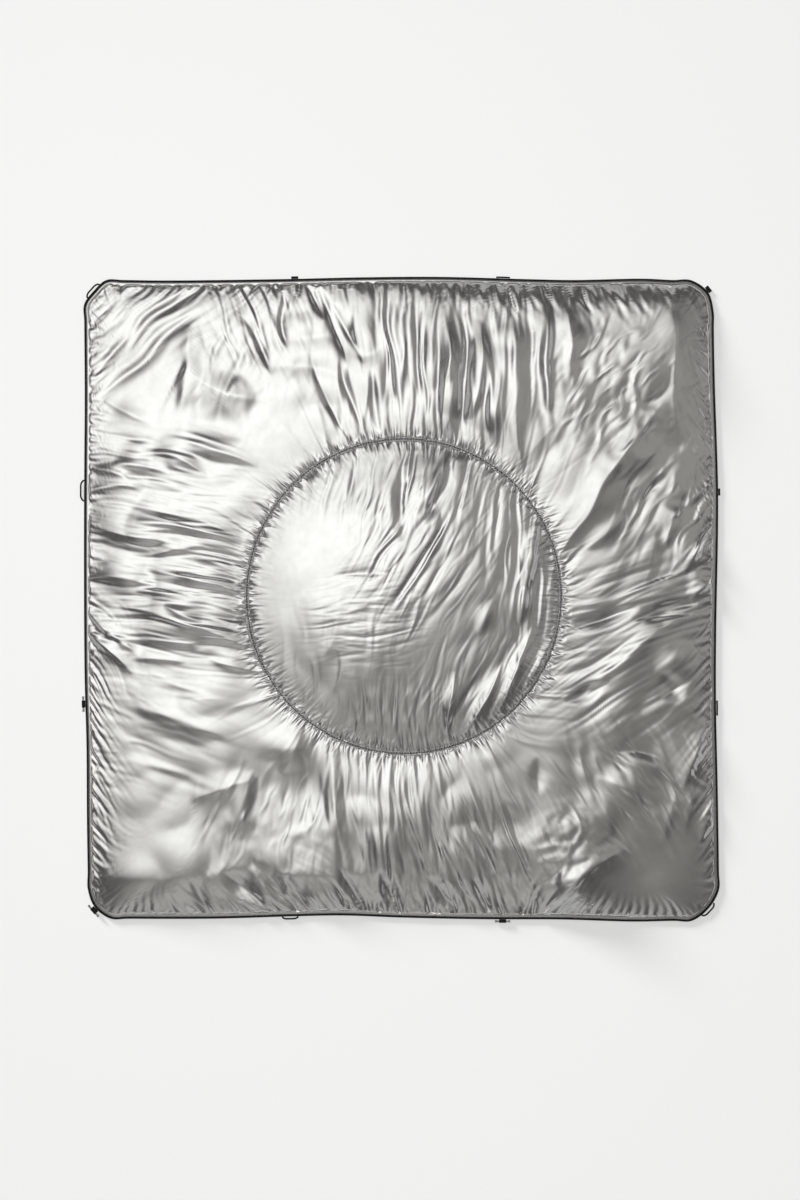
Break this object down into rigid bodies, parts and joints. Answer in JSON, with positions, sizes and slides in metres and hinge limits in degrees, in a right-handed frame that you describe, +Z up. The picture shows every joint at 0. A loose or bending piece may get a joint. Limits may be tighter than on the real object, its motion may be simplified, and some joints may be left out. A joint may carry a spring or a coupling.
{
  "type": "synthetic insulated blanket",
  "caption": "Square insulated blanket with a satin silver face, quilted along one large circle, with black bound edges, cord loops and toggle tabs, lying flat.",
  "frame": {"origin": "on the surface under the middle of the whole part", "axes": "+Z up out of the silver face, +Y towards the edge at the top of the picture, +X to its right"},
  "size_m": [1.4082, 1.4218, 0.0536],
  "materials": {
    "silver_cloth": "satin metallic coating on a fine plain weave",
    "binding_tape": "matt woven tape",
    "loop_cord": "matt braided cord",
    "webbing": "matt ribbed webbing",
    "toggle_plastic": "satin moulded plastic"
  },
  "bodies": {
    "root": {"blanket": "silver_cloth", "edge_binding": "binding_tape", "loop_top_left": "loop_cord", "loop_left": "loop_cord", "loop_bottom": "loop_cord", "loop_bottom_right": "loop_cord", "loop_top": "loop_cord", "loop_right": "loop_cord", "tab_top": "webbing", "tab_top_right": "webbing", "tab_right": "webbing", "tab_bottom": "webbing", "tab_bottom_left": "webbing", "tab_left": "webbing", "toggle_bottom": "toggle_plastic", "toggle_bottom_left": "toggle_plastic", "toggle_left": "toggle_plastic"}
  },
  "joints": []
}
